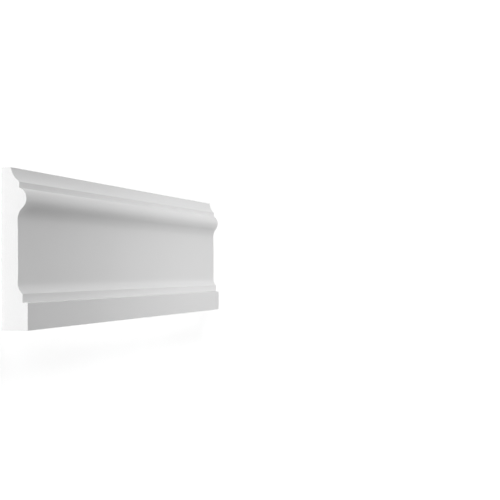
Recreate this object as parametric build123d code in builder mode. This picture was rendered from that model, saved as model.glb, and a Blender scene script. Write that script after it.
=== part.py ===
from build123d import *
from math import cos, radians, sin, sqrt
import os

# Panel moulding: one length of wide wall trim, run to a single section and cut for an inside corner.
# +X runs along the length, from the square end to the mitred one. +Y runs across the width, from the
# plinth to the thin edge, and +Z points out of the face. The back lies on z = 0 and the origin is under
# the middle of the length. All sizes are in millimetres. A thickness is measured from the back.

# Stock
length = 750.0
width = 120.0
mitre_angle = 45.0

# Plinth, the thickest strip, along the lower edge
plinth_thickness = 20.0
plinth_height = 20.5

# Lower band, a step behind the plinth, and the cove that sweeps down from it
lower_band_thickness = 16.1
lower_band_height = 6.6
lower_cove_radius = 10.0

# Field, the wide flat, barely proud of the hollow at each side of it
field_thickness = 12.75
hollow_thickness = 12.5
shoulder_radius = 110.0

# Bead, a nose fuller below than above, and the cove that carries it into the upper hollow
bead_thickness = 19.25
bead_crown_drop = 22.8
bead_upper_radius = 7.9
bead_lower_radius = 10.0
upper_cove_radius = 12.0

# Upper band and the cavetto that thins the moulding to its upper edge
upper_band_thickness = 13.9
cavetto_height = 10.8
cavetto_radius = 15.0
thin_edge_thickness = 7.5

# Rounding of the moulded corners, which a mould never leaves knife-sharp
arris_radius = 0.4


def climb(step, radius):
    """Width in which an arc that starts parallel to the back changes the thickness by one step.

    Two tangent arcs that end parallel to the back need the same width as one with their radii added up.
    """
    return sqrt(2 * radius * step - step**2)


def ogee(crown, crown_radius, hollow, hollow_radius):
    """Round arc from a crown and hollow arc into a hollow, tangent to each other and to the back."""
    turn = crown + (hollow - crown) * (crown_radius / (crown_radius + hollow_radius))
    away = Vector(1, 0) if hollow.X > crown.X else Vector(-1, 0)
    TangentArc(crown, turn, tangent=away)
    TangentArc(hollow, turn, tangent=-away)


# Corners of the plinth and the lower band, as width from the lower edge and thickness
plinth_foot = Vector(0, plinth_thickness)
plinth_nose = Vector(plinth_height, plinth_thickness)
ledge_root = Vector(plinth_height, lower_band_thickness)
lower_band_arris = Vector(plinth_height + lower_band_height, lower_band_thickness)

# Places where the lower cove, the field and the shoulders between them meet
lower_cove_width = climb(lower_band_thickness - hollow_thickness, lower_cove_radius)
shoulder_width = climb(field_thickness - hollow_thickness, 2 * shoulder_radius)
lower_hollow = Vector(lower_band_arris.X + lower_cove_width, hollow_thickness)
field_start = Vector(lower_hollow.X + shoulder_width, field_thickness)

# Places along the bead, worked out from its crown
ogee_width = climb(bead_thickness - hollow_thickness, bead_lower_radius + upper_cove_radius)
quirk_width = climb(bead_thickness - upper_band_thickness, bead_upper_radius)
bead_crown = Vector(width - bead_crown_drop, bead_thickness)
upper_hollow = Vector(bead_crown.X - ogee_width, hollow_thickness)
field_end = Vector(upper_hollow.X - shoulder_width, field_thickness)
quirk = Vector(bead_crown.X + quirk_width, upper_band_thickness)

# Corners of the upper band and the thin edge
upper_band_arris = Vector(width - cavetto_height, upper_band_thickness)
thin_arris = Vector(width, thin_edge_thickness)

moulded_arrises = (plinth_foot, plinth_nose, lower_band_arris, upper_band_arris, thin_arris)

# The section stands square to the length at the square end, with its foot on the lower back edge
square_end = Plane(origin=(-length / 2, -width / 2, 0), x_dir=(0, 1, 0), z_dir=(1, 0, 0))

# The mitre leaves the back longest, so that two lengths close an inside corner
mitre_normal = (cos(radians(mitre_angle)), 0, sin(radians(mitre_angle)))
mitre = Plane(origin=(length / 2, 0, 0), x_dir=(0, 1, 0), z_dir=mitre_normal)

with BuildPart() as panel_moulding:
    with BuildSketch(square_end) as section:
        with BuildLine() as outline:
            Polyline((0, 0), plinth_foot, plinth_nose, ledge_root, lower_band_arris)
            TangentArc(lower_hollow, lower_band_arris, tangent=(-1, 0))
            ogee(field_start, shoulder_radius, lower_hollow, shoulder_radius)
            Line(field_start, field_end)
            ogee(field_end, shoulder_radius, upper_hollow, shoulder_radius)
            ogee(bead_crown, bead_lower_radius, upper_hollow, upper_cove_radius)
            TangentArc(bead_crown, quirk, tangent=(1, 0))
            Line(quirk, upper_band_arris)
            RadiusArc(upper_band_arris, thin_arris, -cavetto_radius)
            Polyline(thin_arris, (width, 0), (0, 0))
        make_face()
        fillet([section.vertices().sort_by_distance(corner)[0] for corner in moulded_arrises], arris_radius)
    extrude(amount=length)
    split(bisect_by=mitre, keep=Keep.BOTTOM)

os.makedirs("parts", exist_ok=True)
panel_moulding.part.label = "panel_moulding"
export_step(panel_moulding.part, "parts/panel_moulding.step")
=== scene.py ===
"""Dresses the panel moulding: the run itself, its primed finish, and a plain studio round it.

The moulding lies on its back. +X runs along the length from the square end to the mitred one, +Y across
the width from the plinth to the thin edge, and +Z out of the moulded face. Sizes are in metres.
"""

import logging
import math
from dataclasses import dataclass
from enum import Enum
from typing import Any, Mapping, Sequence

import bpy
from mathutils import Matrix, Vector


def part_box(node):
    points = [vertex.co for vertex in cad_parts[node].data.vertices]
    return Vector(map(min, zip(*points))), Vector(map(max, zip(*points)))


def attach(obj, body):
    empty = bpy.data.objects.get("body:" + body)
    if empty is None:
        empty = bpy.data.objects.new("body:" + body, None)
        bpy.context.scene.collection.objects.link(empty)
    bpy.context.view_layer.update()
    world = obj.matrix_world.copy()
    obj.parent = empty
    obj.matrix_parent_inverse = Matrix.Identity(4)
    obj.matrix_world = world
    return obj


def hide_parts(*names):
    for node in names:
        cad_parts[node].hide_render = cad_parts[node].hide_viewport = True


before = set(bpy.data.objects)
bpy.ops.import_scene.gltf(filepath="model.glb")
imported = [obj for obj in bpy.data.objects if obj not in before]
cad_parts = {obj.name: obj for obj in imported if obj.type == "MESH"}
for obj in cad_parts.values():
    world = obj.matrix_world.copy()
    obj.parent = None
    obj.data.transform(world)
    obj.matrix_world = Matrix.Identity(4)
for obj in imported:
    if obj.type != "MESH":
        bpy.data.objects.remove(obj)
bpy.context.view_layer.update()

LOG = logging.getLogger("panel_moulding")

CAD_NODE = "panel_moulding"
BODY = "root"

MILLIMETRE = 0.001

Point = tuple[float, float]
Triple = tuple[float, float, float]


class Zone(Enum):
    """The surfaces that aren't the moulded face, and the face attribute that marks each."""

    SAWN = "sawn"
    BACK = "back"


class Bend(Enum):
    """Which way an arc of the section bends: a cove holds its centre out in front, a round behind."""

    COVE = 1.0
    ROUND = -1.0


class Signal:
    """A node socket that takes part in Python arithmetic. Each operation adds one Math node."""

    def __init__(self, bench: "NodeBench", socket: bpy.types.NodeSocket) -> None:
        """Wraps a socket.

        Args:
            bench: The bench that owns the tree.
            socket: The output socket that gives the value.
        """
        self.bench = bench
        self.socket = socket

    def __add__(self, other: "Signal | float") -> "Signal":
        """Sum of two values."""
        return self.bench.math("ADD", self, other)

    __radd__ = __add__

    def __sub__(self, other: "Signal | float") -> "Signal":
        """This value less another."""
        return self.bench.math("SUBTRACT", self, other)

    def __rsub__(self, other: float) -> "Signal":
        """A number less this value."""
        return self.bench.math("SUBTRACT", other, self)

    def __mul__(self, other: "Signal | float") -> "Signal":
        """Product of two values."""
        return self.bench.math("MULTIPLY", self, other)

    __rmul__ = __mul__

    def __truediv__(self, other: "Signal | float") -> "Signal":
        """This value over another."""
        return self.bench.math("DIVIDE", self, other)

    def __rtruediv__(self, other: float) -> "Signal":
        """A number over this value."""
        return self.bench.math("DIVIDE", other, self)

    def __neg__(self) -> "Signal":
        """This value with its sign turned."""
        return self.bench.math("MULTIPLY", self, -1.0)

    def __abs__(self) -> "Signal":
        """Size of this value without its sign."""
        return self.bench.math("ABSOLUTE", self)

    def __gt__(self, other: "Signal | float") -> "Signal":
        """One where this value is the larger, and zero elsewhere."""
        return self.bench.math("GREATER_THAN", self, other)


class NodeBench:
    """Builds one node tree, shader or geometry, from Python expressions."""

    def __init__(self, tree: bpy.types.NodeTree) -> None:
        """Starts from an empty tree.

        Args:
            tree: The tree to fill. What it holds is cleared.
        """
        self.tree = tree
        self.tree.nodes.clear()

    def node(
        self,
        kind: str,
        settings: Mapping[str, Any] | None = None,
        sockets: Mapping[str | int, Any] | None = None,
    ) -> bpy.types.Node:
        """Adds a node, sets it up, and fills its sockets.

        Args:
            kind: The node's type name.
            settings: Its own settings, set first. "stops" fills a ramp with (place, grey) pairs.
            sockets: Input sockets by name or number, each a value, a signal or a socket to link.

        Returns:
            The new node.
        """
        made = self.tree.nodes.new(kind)
        for name, value in (settings or {}).items():
            if name == "stops":
                self._fill_ramp(made.color_ramp, value)
            else:
                setattr(made, name, value)
        for name, value in (sockets or {}).items():
            self.feed(made.inputs[name], value)
        return made

    def feed(self, socket: bpy.types.NodeSocket, value: Any) -> None:
        """Links or sets one input socket.

        Args:
            socket: The input.
            value: A signal or socket to link, or a plain value to set.
        """
        if isinstance(value, Signal):
            self.tree.links.new(value.socket, socket)
        elif isinstance(value, bpy.types.NodeSocket):
            self.tree.links.new(value, socket)
        else:
            socket.default_value = value

    def signal(self, made: bpy.types.Node, output: str | int = 0) -> Signal:
        """Wraps one output of a node, so that it can be used in an expression."""
        return Signal(self, made.outputs[output])

    def math(self, operation: str, *values: Signal | float) -> Signal:
        """Adds a Math node.

        Args:
            operation: The Math node's operation.
            *values: Its inputs in order, signals or numbers.

        Returns:
            The node's result.
        """
        made = self.node("ShaderNodeMath", {"operation": operation}, dict(enumerate(values)))
        return self.signal(made)

    def vector(self, operation: str, *values: Any) -> Signal:
        """Adds a Vector Math node.

        Args:
            operation: The node's operation.
            *values: Its inputs in order, as signals, sockets or triples.

        Returns:
            The resulting vector, or for LENGTH the resulting number.
        """
        made = self.node("ShaderNodeVectorMath", {"operation": operation}, dict(enumerate(values)))
        return self.signal(made, "Value" if operation == "LENGTH" else "Vector")

    def grey(self, value: Signal) -> Signal:
        """Makes a value a colour, the same in red, green and blue."""
        made = self.node("ShaderNodeCombineColor", None, {"Red": value, "Green": value, "Blue": value})
        return self.signal(made)

    def blend(
        self,
        value: Signal,
        across: tuple[float, float],
        levels: tuple[Signal | float, float],
        shape: str = "LINEAR",
    ) -> Signal:
        """Goes from one level to another while a value crosses a range, and holds them outside it.

        Args:
            value: The value that crosses the range.
            across: Where the range starts and ends.
            levels: The levels at its start and end.
            shape: How the level changes between them, as a Map Range node names it.

        Returns:
            The level.
        """
        start, end = across
        first, last = levels
        sockets = {"Value": value, "From Min": start, "From Max": end, "To Min": first, "To Max": last}
        return self.signal(self.node("ShaderNodeMapRange", {"interpolation_type": shape}, sockets), "Result")

    def _fill_ramp(self, ramp: bpy.types.ColorRamp, stops: Sequence[tuple[float, float]]) -> None:
        """Gives a ramp its grey stops, using the two it starts with first.

        Args:
            ramp: The ramp of a Color Ramp node.
            stops: The stops from left to right, as a place and a grey level each.
        """
        while len(ramp.elements) < len(stops):
            ramp.elements.new(1.0)
        for element, (place, grey) in zip(ramp.elements, stops):
            element.position = place
            element.color = (grey, grey, grey, 1.0)


@dataclass(frozen=True)
class Section:
    """The moulded section. A thickness is measured out from the back, and a height from the lower edge."""

    width: float
    plinth_thickness: float
    plinth_height: float = 20.5 * MILLIMETRE
    lower_band_thickness: float = 16.1 * MILLIMETRE
    lower_band_height: float = 6.6 * MILLIMETRE
    lower_cove_radius: float = 10.0 * MILLIMETRE
    field_thickness: float = 12.75 * MILLIMETRE
    hollow_thickness: float = 12.5 * MILLIMETRE
    shoulder_radius: float = 110.0 * MILLIMETRE
    bead_thickness: float = 19.25 * MILLIMETRE
    bead_crown_drop: float = 22.8 * MILLIMETRE
    bead_upper_radius: float = 7.9 * MILLIMETRE
    bead_lower_radius: float = 10.0 * MILLIMETRE
    upper_cove_radius: float = 12.0 * MILLIMETRE
    upper_band_thickness: float = 13.9 * MILLIMETRE
    cavetto_height: float = 10.8 * MILLIMETRE
    cavetto_radius: float = 15.0 * MILLIMETRE
    thin_edge_thickness: float = 7.5 * MILLIMETRE
    chord_error: float = 0.003 * MILLIMETRE

    def outline(self) -> tuple[list[Point], list[Point]]:
        """Works out the closed outline, anticlockwise as seen with the face upwards.

        Returns:
            The outline's points, as height and thickness, and those of them that are moulded arrises.
        """
        foot = (0.0, self.plinth_thickness)
        nose = (self.plinth_height, self.plinth_thickness)
        ledge_root = (self.plinth_height, self.lower_band_thickness)
        lower_arris = (self.plinth_height + self.lower_band_height, self.lower_band_thickness)
        upper_arris = (self.width - self.cavetto_height, self.upper_band_thickness)
        thin_arris = (self.width, self.thin_edge_thickness)

        cove_drop = self.lower_band_thickness - self.hollow_thickness
        lower_hollow = (lower_arris[0] + climb(cove_drop, self.lower_cove_radius), self.hollow_thickness)
        swell = self.field_thickness - self.hollow_thickness
        shoulder = climb(swell, 2 * self.shoulder_radius)
        field_start = (lower_hollow[0] + shoulder, self.field_thickness)

        crown = (self.width - self.bead_crown_drop, self.bead_thickness)
        bead_fall = self.bead_thickness - self.hollow_thickness
        ogee_height = climb(bead_fall, self.bead_lower_radius + self.upper_cove_radius)
        upper_hollow = (crown[0] - ogee_height, self.hollow_thickness)
        field_end = (upper_hollow[0] - shoulder, self.field_thickness)
        quirk_drop = self.bead_thickness - self.upper_band_thickness
        quirk = (crown[0] + climb(quirk_drop, self.bead_upper_radius), self.upper_band_thickness)

        points = [foot, nose, ledge_root]
        points += self.arc(lower_arris, lower_hollow, self.lower_cove_radius, Bend.COVE)
        points += self.ogee(lower_hollow, field_start, self.shoulder_radius, self.shoulder_radius)
        points += self.ogee(field_end, upper_hollow, self.shoulder_radius, self.shoulder_radius)
        points += self.ogee(upper_hollow, crown, self.upper_cove_radius, self.bead_lower_radius)
        points += self.arc(crown, quirk, self.bead_upper_radius, Bend.ROUND)
        points += self.arc(upper_arris, thin_arris, self.cavetto_radius, Bend.COVE)
        points += [(self.width, 0.0), (0.0, 0.0)]
        return without_doubles(points)[::-1], [foot, nose, lower_arris, upper_arris, thin_arris]

    def ogee(self, start: Point, end: Point, start_radius: float, end_radius: float) -> list[Point]:
        """Two tangent arcs between points where the outline runs parallel to the back.

        Args:
            start: The first point, as height and thickness.
            end: The last point.
            start_radius: Radius of the arc that leaves the start.
            end_radius: Radius of the arc that reaches the end.

        Returns:
            The points of both arcs, from start to end.
        """
        share = start_radius / (start_radius + end_radius)
        turn = between(start, end, share)
        rises = end[1] > start[1]
        first, last = (Bend.COVE, Bend.ROUND) if rises else (Bend.ROUND, Bend.COVE)
        return self.arc(start, turn, start_radius, first) + self.arc(turn, end, end_radius, last)

    def arc(self, start: Point, end: Point, radius: float, bend: Bend) -> list[Point]:
        """The shorter arc of a given radius between two points.

        Args:
            start: The lower end, as height and thickness.
            end: The upper end.
            radius: The arc's radius.
            bend: Whether the centre lies out in front of the face or behind it.

        Returns:
            Points along the arc, both ends among them, close enough to keep within the chord error.
        """
        chord = math.dist(start, end)
        along = ((end[0] - start[0]) / chord, (end[1] - start[1]) / chord)
        reach = math.sqrt(radius**2 - (chord / 2) ** 2) * bend.value
        middle = between(start, end, 0.5)
        centre = (middle[0] - along[1] * reach, middle[1] + along[0] * reach)
        begin = math.atan2(start[1] - centre[1], start[0] - centre[0])
        half_turn = math.asin(chord / 2 / radius)
        turn = 2 * half_turn * bend.value
        steps = math.ceil(half_turn / math.acos(1 - self.chord_error / radius))
        angles = [begin + turn * step / steps for step in range(steps + 1)]
        return [(centre[0] + radius * math.cos(a), centre[1] + radius * math.sin(a)) for a in angles]


def climb(step: float, radius: float) -> float:
    """Height in which an arc that starts parallel to the back changes the thickness by one step.

    Args:
        step: The change of thickness.
        radius: The arc's radius, or the two radii of an ogee added up.

    Returns:
        The height that the arc takes.
    """
    return math.sqrt(2 * radius * step - step**2)


def between(start: Point, end: Point, share: float) -> Point:
    """The point that lies a share of the way from start to end."""
    return (start[0] + (end[0] - start[0]) * share, start[1] + (end[1] - start[1]) * share)


def without_doubles(points: Sequence[Point], gap: float = 1e-7) -> list[Point]:
    """Leaves out each point that repeats the one before it, where two arcs share an end.

    Args:
        points: The outline's points in order.
        gap: How close two points lie to count as one.

    Returns:
        The points that are left.
    """
    kept = [points[0]]
    for point in points[1:]:
        if math.dist(point, kept[-1]) > gap:
            kept.append(point)
    return kept


def with_flat_ends(points: Sequence[Point], inset: float) -> list[Point]:
    """Adds a point near both ends of each flat, so that its shading doesn't lean to the round beside it.

    Args:
        points: The closed outline's points in order.
        inset: How far from its ends a flat gets the two points. A side under four times this is left.

    Returns:
        The points of the outline with those of the flats.
    """
    braced: list[Point] = []
    for index, start in enumerate(points):
        end = points[(index + 1) % len(points)]
        side = math.dist(start, end)
        braced.append(start)
        if side > 4 * inset:
            braced += [between(start, end, inset / side), between(start, end, 1 - inset / side)]
    return braced


@dataclass(frozen=True)
class PrimedFoam:
    """White moulded foam: primed on its face, sawn at its ends and sanded flat on its back."""

    name: str = "primed_white_foam"
    primer_grey: float = 0.86
    sawn_grey: float = 0.86
    specular_level: float = 0.35
    primer_mottle: float = 0.006
    mottle_size: float = 45 * MILLIMETRE
    primer_roughness: float = 0.56
    roughness_spread: float = 0.05
    peel_size: float = 1.4 * MILLIMETRE
    peel_depth: float = 0.012 * MILLIMETRE
    sawn_roughness: float = 0.82
    cell_size: float = 0.45 * MILLIMETRE
    cell_depth: float = 0.05 * MILLIMETRE
    # Painted shade: how much the sawn end's grey is darkened in each cut cell's pit.
    cell_painted_shade: float = 0.03
    cell_floor: float = 0.1
    cell_rim: float = 0.55
    saw_pitch: float = 1.6 * MILLIMETRE
    saw_depth: float = 0.03 * MILLIMETRE
    # Painted shade: how much the sawn end's grey is darkened on the saw rings' crests, standing in for the
    # shading of their relief.
    ring_painted_shade: float = 0.008
    saw_radius: float = 125 * MILLIMETRE
    saw_wander: float = 1.5
    wander_size: float = 9.6 * MILLIMETRE
    back_roughness: float = 0.75
    scratch_size: float = 0.5 * MILLIMETRE
    scratch_depth: float = 0.015 * MILLIMETRE
    scratch_stretch: float = 90.0

    def build(self, run_length: float) -> bpy.types.Material:
        """Makes the material.

        Args:
            run_length: Length of the run, which places the saw's centre at both ends.

        Returns:
            The finished material.
        """
        material = bpy.data.materials.new(self.name)
        material.use_nodes = True
        bench = NodeBench(material.node_tree)
        where = bench.node("ShaderNodeTexCoord").outputs["Object"]
        sawn = self.mask(bench, Zone.SAWN)
        back = self.mask(bench, Zone.BACK)
        moulded = 1.0 - sawn - back

        mottle = self.noise(bench, where, self.mottle_size, detail=3.0) - 0.5
        cells = self.cells(bench, where)
        rings = self.saw_marks(bench, where, run_length)
        primer = self.primer_grey + mottle * (2 * self.primer_mottle)
        # The sawn end's own grey, darkened in the cell pits and on the saw-ring crests as painted shade.
        sawn_tone_and_painted_shade = self.sawn_grey - self.primer_grey - cells * self.cell_painted_shade - rings * self.ring_painted_shade
        grey = primer + sawn * sawn_tone_and_painted_shade

        roughness = (
            moulded * (self.primer_roughness + mottle * (2 * self.roughness_spread))
            + sawn * self.sawn_roughness
            + back * self.back_roughness
        )

        height = (
            moulded * self.noise(bench, where, self.peel_size, detail=2.0) * self.peel_depth
            + sawn * (rings * self.saw_depth - cells * self.cell_depth)
            + back * self.scratches(bench, where) * self.scratch_depth
        )
        bump = bench.node("ShaderNodeBump", None, {"Strength": 1.0, "Distance": 1.0, "Height": height})
        shader = bench.node(
            "ShaderNodeBsdfPrincipled",
            None,
            {
                "Base Color": bench.grey(grey),
                "Roughness": roughness,
                "Specular IOR Level": self.specular_level,
                "Normal": bump.outputs["Normal"],
            },
        )
        bench.node("ShaderNodeOutputMaterial", None, {"Surface": shader.outputs["BSDF"]})
        return material

    def mask(self, bench: NodeBench, zone: Zone) -> Signal:
        """One on the faces of a zone and zero elsewhere."""
        return bench.signal(bench.node("ShaderNodeAttribute", {"attribute_name": zone.value}), "Fac")

    def noise(self, bench: NodeBench, where: bpy.types.NodeSocket, size: float, detail: float) -> Signal:
        """Soft irregular pattern between zero and one.

        Args:
            bench: The material's bench.
            where: Coordinates in metres.
            size: Width of the pattern's lumps.
            detail: Number of finer layers in it.

        Returns:
            The pattern.
        """
        sockets = {"Vector": where, "Scale": 1 / size, "Detail": detail, "Roughness": 0.5}
        return bench.signal(bench.node("ShaderNodeTexNoise", None, sockets), "Fac")

    def cells(self, bench: NodeBench, where: bpy.types.NodeSocket) -> Signal:
        """Cut cells of the foam, one in the middle of each and zero on its walls.

        Args:
            bench: The material's bench.
            where: Coordinates in metres.

        Returns:
            The pattern.
        """
        sockets = {"Vector": where, "Scale": 1 / self.cell_size}
        distance = bench.node("ShaderNodeTexVoronoi", {"feature": "F1"}, sockets).outputs["Distance"]
        stops = [(self.cell_floor, 1.0), (self.cell_rim, 0.0)]
        ramp = bench.node("ShaderNodeValToRGB", {"stops": stops}, {"Fac": distance})
        return bench.signal(ramp, "Color")

    def saw_marks(self, bench: NodeBench, where: bpy.types.NodeSocket, run_length: float) -> Signal:
        """Rings that a saw blade leaves on both ends, from one centre mirrored along the length.

        Args:
            bench: The material's bench.
            where: Coordinates in metres.
            run_length: Length of the run.

        Returns:
            The rings' height between zero and one.
        """
        centre = (run_length / 2, 0.0, self.saw_radius)
        distance = bench.vector("LENGTH", bench.vector("SUBTRACT", bench.vector("ABSOLUTE", where), centre))
        wander = self.noise(bench, where, self.wander_size, detail=1.0) * self.saw_wander
        turns = distance / self.saw_pitch + wander
        return bench.math("SINE", turns * (2 * math.pi)) * 0.5 + 0.5

    def scratches(self, bench: NodeBench, where: bpy.types.NodeSocket) -> Signal:
        """Fine sanding lines along the back.

        Args:
            bench: The material's bench.
            where: Coordinates in metres.

        Returns:
            The lines' height between zero and one.
        """
        scale = (1 / self.scratch_stretch, 1.0, 1.0)
        stretched = bench.node("ShaderNodeMapping", None, {"Vector": where, "Scale": scale})
        return self.noise(bench, stretched.outputs["Vector"], self.scratch_size, detail=2.0)


@dataclass
class MouldingRun:
    """One length of the moulding, run along X, square at one end and mitred at the other.

    A face belongs to an end where its normal's X passes end_lean either way, and to the back where its
    normal's -Z passes back_lean.
    """

    section: Section
    length: float
    finish: PrimedFoam
    name: str = "moulding_run"
    mitre_angle: float = math.radians(45)
    arris_radius: float = 0.4 * MILLIMETRE
    arris_steps: int = 6
    length_steps: int = 60
    crease_angle: float = math.radians(32)
    end_lean: float = 0.5
    back_lean: float = 0.9
    arris_mark: str = "arris"

    def build(self) -> bpy.types.Object:
        """Makes the run as a plain mesh.

        Returns:
            The piece, in the scene and in its finish.
        """
        material = self.finish.build(self.length)
        drawn = self.draw_section()
        self.sweep(drawn, material)
        graph = bpy.context.evaluated_depsgraph_get()
        mesh = bpy.data.meshes.new_from_object(drawn.evaluated_get(graph))
        bpy.data.objects.remove(drawn)
        mesh.name = self.name
        piece = bpy.data.objects.new(self.name, mesh)
        bpy.context.scene.collection.objects.link(piece)
        return piece

    def draw_section(self) -> bpy.types.Object:
        """Draws the section as a closed ring of edges, with its moulded arrises marked.

        Returns:
            An object that holds the ring, across along its X and out along its Y.
        """
        outline, arrises = self.section.outline()
        points = with_flat_ends(outline, 2 * self.arris_radius)
        middle = self.section.width / 2
        mesh = bpy.data.meshes.new("section")
        count = len(points)
        edges = [(index, (index + 1) % count) for index in range(count)]
        mesh.from_pydata([(height - middle, out, 0.0) for height, out in points], edges, [])
        marks = mesh.attributes.new(self.arris_mark, "FLOAT", "POINT")
        for index, point in enumerate(points):
            marks.data[index].value = float(point in arrises)
        drawn = bpy.data.objects.new("section", mesh)
        bpy.context.scene.collection.objects.link(drawn)
        return drawn

    def sweep(self, drawn: bpy.types.Object, material: bpy.types.Material) -> None:
        """Puts the run's node tree on the section and sets its sizes.

        Args:
            drawn: The object that holds the section.
            material: The finish of the run.
        """
        tree, inputs = self.make_tree()
        modifier = drawn.modifiers.new("run", "NODES")
        modifier.node_group = tree
        sizes = {
            "Length": self.length,
            "Mitre Angle": self.mitre_angle,
            "Arris Radius": self.arris_radius,
            "Arris Steps": self.arris_steps,
            "Length Steps": self.length_steps,
            "Crease Angle": self.crease_angle,
            "Finish": material,
        }
        for name, value in sizes.items():
            modifier[inputs[name]] = value

    def make_tree(self) -> tuple[bpy.types.NodeTree, dict[str, str]]:
        """Builds the tree that rounds the arrises, runs the section along X and cuts the mitre.

        Returns:
            The tree, and the identifier of each input by its name.
        """
        tree = bpy.data.node_groups.new("moulding_run", "GeometryNodeTree")
        kinds = {
            "Section": "NodeSocketGeometry",
            "Length": "NodeSocketFloat",
            "Mitre Angle": "NodeSocketFloat",
            "Arris Radius": "NodeSocketFloat",
            "Arris Steps": "NodeSocketInt",
            "Length Steps": "NodeSocketInt",
            "Crease Angle": "NodeSocketFloat",
            "Finish": "NodeSocketMaterial",
        }
        inputs = {
            name: tree.interface.new_socket(name, in_out="INPUT", socket_type=kind).identifier
            for name, kind in kinds.items()
        }
        tree.interface.new_socket("Run", in_out="OUTPUT", socket_type="NodeSocketGeometry")
        bench = NodeBench(tree)
        given = bench.node("NodeGroupInput")

        profile = self.rounded_section(bench, given)
        path = self.run_path(bench, given)
        solid = bench.node(
            "GeometryNodeCurveToMesh", None, {"Curve": path, "Profile Curve": profile, "Fill Caps": True}
        )
        cut = self.cut_mitre(bench, given, solid.outputs["Mesh"])
        faced = self.face_ends(bench, self.mark_zones(bench, cut))
        shaded = self.crease(bench, given, faced)
        real = bench.node("GeometryNodeRealizeInstances", None, {"Geometry": shaded})
        finished = bench.node(
            "GeometryNodeSetMaterial",
            None,
            {"Geometry": real.outputs["Geometry"], "Material": given.outputs["Finish"]},
        )
        bench.node("NodeGroupOutput", None, {"Run": finished.outputs["Geometry"]})
        return tree, inputs

    def rounded_section(self, bench: NodeBench, given: bpy.types.Node) -> bpy.types.NodeSocket:
        """Turns the drawn ring into a curve and rounds its marked arrises.

        Args:
            bench: The tree's bench.
            given: The node that gives the tree's inputs.

        Returns:
            The section's curve.
        """
        ring = bench.node("GeometryNodeMeshToCurve", None, {"Mesh": given.outputs["Section"]})
        mark = bench.node(
            "GeometryNodeInputNamedAttribute", {"data_type": "FLOAT"}, {"Name": self.arris_mark}
        )
        rounded = bench.node(
            "GeometryNodeFilletCurve",
            {"mode": "POLY"},
            {
                "Curve": ring.outputs["Curve"],
                "Count": given.outputs["Arris Steps"],
                "Radius": bench.signal(mark, "Attribute") * bench.signal(given, "Arris Radius"),
                "Limit Radius": True,
            },
        )
        return rounded.outputs["Curve"]

    def run_path(self, bench: NodeBench, given: bpy.types.Node) -> bpy.types.NodeSocket:
        """Lays a line along X, turned so that the section stands face up on it.

        Args:
            bench: The tree's bench.
            given: The node that gives the tree's inputs.

        Returns:
            The line's curve.
        """
        half = bench.signal(given, "Length") * 0.5
        start = bench.node("ShaderNodeCombineXYZ", None, {"X": -half})
        end = bench.node("ShaderNodeCombineXYZ", None, {"X": half})
        line = bench.node(
            "GeometryNodeCurvePrimitiveLine",
            None,
            {"Start": start.outputs["Vector"], "End": end.outputs["Vector"]},
        )
        stepped = bench.node(
            "GeometryNodeResampleCurve",
            {"mode": "COUNT"},
            {"Curve": line.outputs["Curve"], "Count": bench.signal(given, "Length Steps") + 1},
        )
        turned = bench.node(
            "GeometryNodeSetCurveTilt", None, {"Curve": stepped.outputs["Curve"], "Tilt": math.pi}
        )
        return turned.outputs["Curve"]

    def cut_mitre(
        self, bench: NodeBench, given: bpy.types.Node, solid: bpy.types.NodeSocket
    ) -> bpy.types.NodeSocket:
        """Leans the run's rings, not at all at the square end and to the mitre at the other.

        Args:
            bench: The tree's bench.
            given: The node that gives the tree's inputs.
            solid: The run with both ends square.

        Returns:
            The run with its far end mitred.
        """
        position = bench.node("GeometryNodeInputPosition").outputs["Position"]
        place = bench.node("ShaderNodeSeparateXYZ", None, {"Vector": position})
        along = bench.signal(place, "X") / bench.signal(given, "Length") + 0.5
        lean = bench.math("TANGENT", bench.signal(given, "Mitre Angle")) * bench.signal(place, "Z")
        offset = bench.node("ShaderNodeCombineXYZ", None, {"X": -(along * lean)})
        moved = bench.node(
            "GeometryNodeSetPosition", None, {"Geometry": solid, "Offset": offset.outputs["Vector"]}
        )
        return moved.outputs["Geometry"]

    def mark_zones(self, bench: NodeBench, solid: bpy.types.NodeSocket) -> bpy.types.NodeSocket:
        """Marks the sawn ends and the back on their faces, by the way that each face looks.

        Args:
            bench: The tree's bench.
            solid: The run.

        Returns:
            The run with a face attribute for each zone.
        """
        normal = bench.node("GeometryNodeInputNormal").outputs["Normal"]
        looks = bench.node("ShaderNodeSeparateXYZ", None, {"Vector": normal})
        marks = {
            Zone.SAWN: abs(bench.signal(looks, "X")) > self.end_lean,
            Zone.BACK: -bench.signal(looks, "Z") > self.back_lean,
        }
        for zone, mark in marks.items():
            stored = bench.node(
                "GeometryNodeStoreNamedAttribute",
                {"data_type": "FLOAT", "domain": "FACE"},
                {"Geometry": solid, "Name": zone.value, "Value": mark},
            )
            solid = stored.outputs["Geometry"]
        return solid

    def face_ends(self, bench: NodeBench, solid: bpy.types.NodeSocket) -> bpy.types.NodeSocket:
        """Divides each sawn end, one face with a corner at every point of the section, into sound triangles.

        Args:
            bench: The tree's bench.
            solid: The run, with its zones marked.

        Returns:
            The run with its ends divided.
        """
        sawn = bench.node(
            "GeometryNodeInputNamedAttribute", {"data_type": "FLOAT"}, {"Name": Zone.SAWN.value}
        )
        faced = bench.node(
            "GeometryNodeTriangulate",
            {"ngon_method": "BEAUTY"},
            {"Mesh": solid, "Selection": bench.signal(sawn, "Attribute") > 0.5},
        )
        return faced.outputs["Mesh"]

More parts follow.
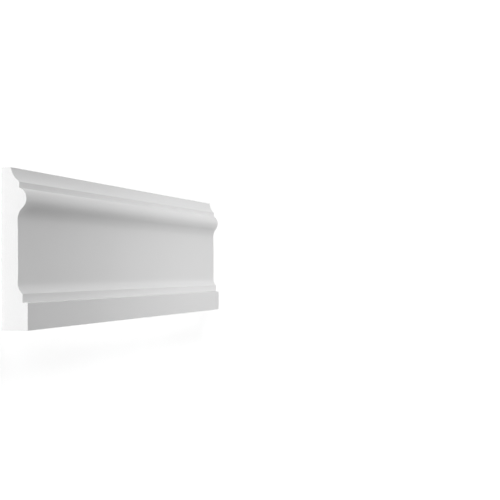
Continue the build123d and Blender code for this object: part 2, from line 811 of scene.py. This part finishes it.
    def crease(
        self, bench: NodeBench, given: bpy.types.Node, solid: bpy.types.NodeSocket
    ) -> bpy.types.NodeSocket:
        """Shades the run smooth, with its sharp corners left sharp.

        Args:
            bench: The tree's bench.
            given: The node that gives the tree's inputs.
            solid: The run.

        Returns:
            The run with its shading set.
        """
        smooth = bench.node(
            "GeometryNodeSetShadeSmooth", {"domain": "FACE"}, {"Geometry": solid, "Shade Smooth": True}
        )
        angle = bench.signal(bench.node("GeometryNodeInputMeshEdgeAngle"), "Unsigned Angle")
        creased = bench.node(
            "GeometryNodeSetShadeSmooth",
            {"domain": "EDGE"},
            {
                "Geometry": smooth.outputs["Geometry"],
                "Selection": angle > bench.signal(given, "Crease Angle"),
                "Shade Smooth": False,
            },
        )
        return creased.outputs["Geometry"]

    def place(self, piece: bpy.types.Object) -> None:
        """Puts the piece on its body in place of the plain solid.

        Args:
            piece: The finished run.
        """
        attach(piece, BODY)
        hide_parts(CAD_NODE)


@dataclass(frozen=True)
class SoftBox:
    """A rectangular soft box, aimed at a point. Without glare it lights, but no gloss mirrors it."""

    name: str
    place: Triple
    aim: Triple
    wide: float
    tall: float
    power: float
    glare: bool = True

    def build(self) -> bpy.types.Object:
        """Hangs the soft box.

        Returns:
            The lamp's object.
        """
        data = bpy.data.lights.new(self.name, "AREA")
        data.shape = "RECTANGLE"
        data.size = self.wide
        data.size_y = self.tall
        data.energy = self.power
        lamp = bpy.data.objects.new(self.name, data)
        lamp.location = self.place
        aim = Vector(self.aim) - Vector(self.place)
        lamp.rotation_euler = aim.to_track_quat("-Z", "Y").to_euler()
        lamp.visible_camera = False
        lamp.visible_glossy = self.glare
        bpy.context.scene.collection.objects.link(lamp)
        return lamp


@dataclass(frozen=True)
class Studio:
    """A white floor, an even sky and the lamps. The footprint is half the moulding's length and width."""

    lamps: tuple[SoftBox, ...]
    footprint: Triple
    sky_strength: float = 0.12
    floor_reach: float = 60.0
    floor_drop: float = 0.1 * MILLIMETRE
    floor_grey: float = 0.85
    near_lift: float = 0.645
    far_lift: float = 0.45
    far_light_from: float = 0.25
    white_reach: float = 0.2

    def build(self) -> None:
        """Sets up the whole studio."""
        self.build_sky()
        self.build_floor()
        for lamp in self.lamps:
            lamp.build()
            LOG.info("lamp %s, %.1f W", lamp.name, lamp.power)

    def seen(self, bench: NodeBench) -> Signal:
        """Tells what is looked at, straight, mirrored or through glass, from what only gives light.

        Args:
            bench: The bench of the sky or the floor.

        Returns:
            One where it is looked at, and zero where it gives light.
        """
        path = bench.node("ShaderNodeLightPath")
        rays = [bench.signal(path, f"Is {kind} Ray") for kind in ("Camera", "Glossy", "Transmission")]
        return bench.math("MAXIMUM", bench.math("MAXIMUM", rays[0], rays[1]), rays[2])

    def build_sky(self) -> None:
        """White to look at, and a soft even light on everything else."""
        world = bpy.data.worlds.new("sky")
        world.use_nodes = True
        bpy.context.scene.world = world
        bench = NodeBench(world.node_tree)
        seen = self.seen(bench)
        strength = seen + (1.0 - seen) * self.sky_strength
        white = (1.0, 1.0, 1.0, 1.0)
        sky = bench.node("ShaderNodeBackground", None, {"Color": white, "Strength": strength})
        bench.node("ShaderNodeOutputWorld", None, {"Surface": sky.outputs["Background"]})

    def build_floor(self) -> None:
        """A floor that keeps the shadow near the moulding and fades to plain white further out."""
        reach = self.floor_reach / 2
        corners = [(-reach, -reach), (reach, -reach), (reach, reach), (-reach, reach)]
        mesh = bpy.data.meshes.new("floor")
        mesh.from_pydata([(x, y, -self.floor_drop) for x, y in corners], [], [(0, 1, 2, 3)])
        mesh.materials.append(self.floor_material())
        floor = bpy.data.objects.new("floor", mesh)
        bpy.context.scene.collection.objects.link(floor)

    def floor_material(self) -> bpy.types.Material:
        """Makes the floor's paint.

        Returns:
            A material that adds to the lit floor, for the camera, what it lacks of white.
        """
        material = bpy.data.materials.new("studio_floor")
        material.use_nodes = True
        bench = NodeBench(material.node_tree)
        where = bench.node("ShaderNodeTexCoord").outputs["Object"]
        beyond = bench.vector("SUBTRACT", bench.vector("ABSOLUTE", where), self.footprint)
        distance = bench.vector("LENGTH", bench.vector("MAXIMUM", beyond, (0.0, 0.0, 0.0)))
        along = bench.signal(bench.node("ShaderNodeSeparateXYZ", None, {"Vector": where}), "X")
        crossed = (-self.footprint[0], self.far_light_from)
        lift = bench.blend(along, crossed, (self.near_lift, self.far_lift))
        fade = bench.blend(distance, (0.0, self.white_reach), (lift, 1.0), "SMOOTHSTEP")
        glow = bench.grey(fade * self.seen(bench))
        white = bench.node("ShaderNodeEmission", None, {"Color": glow, "Strength": 1.0})
        grey = (self.floor_grey, self.floor_grey, self.floor_grey, 1.0)
        lit = bench.node("ShaderNodeBsdfDiffuse", None, {"Color": grey})
        both = bench.node(
            "ShaderNodeAddShader", None, {0: lit.outputs["BSDF"], 1: white.outputs["Emission"]}
        )
        bench.node("ShaderNodeOutputMaterial", None, {"Surface": both.outputs["Shader"]})
        return material


@dataclass(frozen=True)
class PhotoCamera:
    """The photograph's viewpoint: near the square end, looking along the face, with +Y upwards."""

    lens_mm: float = 130.0
    sensor_mm: float = 36.0
    before_square_end: float = 1.27
    across: float = -0.0171
    out_from_back: float = 0.4094
    aim: Triple = (0.0, 0.0025, 0.1187)
    roll: float = math.radians(-0.26)
    far_limit: float = 200.0

    def build(self, run_length: float) -> bpy.types.Object:
        """Sets the camera up and makes it the scene's own.

        Args:
            run_length: Length of the run, whose square end the camera stands before.

        Returns:
            The camera's object.
        """
        data = bpy.data.cameras.new("photo_camera")
        data.lens = self.lens_mm
        data.sensor_width = self.sensor_mm
        data.clip_end = self.far_limit
        camera = bpy.data.objects.new("photo_camera", data)
        station = Vector((-run_length / 2 - self.before_square_end, self.across, self.out_from_back))
        backward = (station - Vector(self.aim)).normalized()
        right = Vector((0.0, 1.0, 0.0)).cross(backward).normalized()
        upward = backward.cross(right)
        turned = Matrix((right, upward, backward)).transposed().to_4x4()
        camera.matrix_world = Matrix.Translation(station) @ turned @ Matrix.Rotation(self.roll, 4, "Z")
        bpy.context.scene.collection.objects.link(camera)
        bpy.context.scene.camera = camera
        return camera


def soft_boxes(near_end: Triple) -> tuple[SoftBox, ...]:
    """Sets out the lamps for the photograph's light, which comes from before the square end and from +Y.

    The front box stands low, so its glare would whiten the face as seen from the mitred end.

    Args:
        near_end: Middle of the square end, on the floor.

    Returns:
        The lamps.
    """
    middle = (0.0, 0.0, 0.0)
    low_middle = (0.0, 0.0, 0.01)
    far_third = (0.25, 0.0, 0.0)
    return (
        SoftBox(
            "front_box", place=(-2.4, 0.3, 0.25), aim=near_end, wide=1.2, tall=0.45, power=36.6, glare=False
        ),
        SoftBox("side_box", place=(0.4, 2.2, 0.8), aim=middle, wide=1.2, tall=1.2, power=17.8),
        SoftBox("far_box", place=(0.9, 0.0, 0.6), aim=far_third, wide=0.6, tall=0.6, power=1.7),
        SoftBox("over_box", place=(0.2, 0.0, 0.5), aim=far_third, wide=0.6, tall=0.6, power=0.87),
        SoftBox("floor_strip", place=(0.0, -0.6, 0.01), aim=low_middle, wide=1.2, tall=0.018, power=3.0),
    )


def main() -> None:
    """Builds the moulding, the studio and the camera."""
    logging.basicConfig(level=logging.INFO, format="%(name)s: %(message)s")
    bpy.context.scene.view_settings.view_transform = "Standard"
    low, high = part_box(CAD_NODE)
    size = high - low

    run = MouldingRun(Section(width=size.y, plinth_thickness=size.z), size.x, PrimedFoam())
    piece = run.build()
    run.place(piece)
    LOG.info("piece %s, %d faces", piece.name, len(piece.data.polygons))

    Studio(lamps=soft_boxes((low.x, 0.0, 0.0)), footprint=(high.x, high.y, 0.0)).build()
    PhotoCamera().build(size.x)


if __name__ == "__main__":
    main()
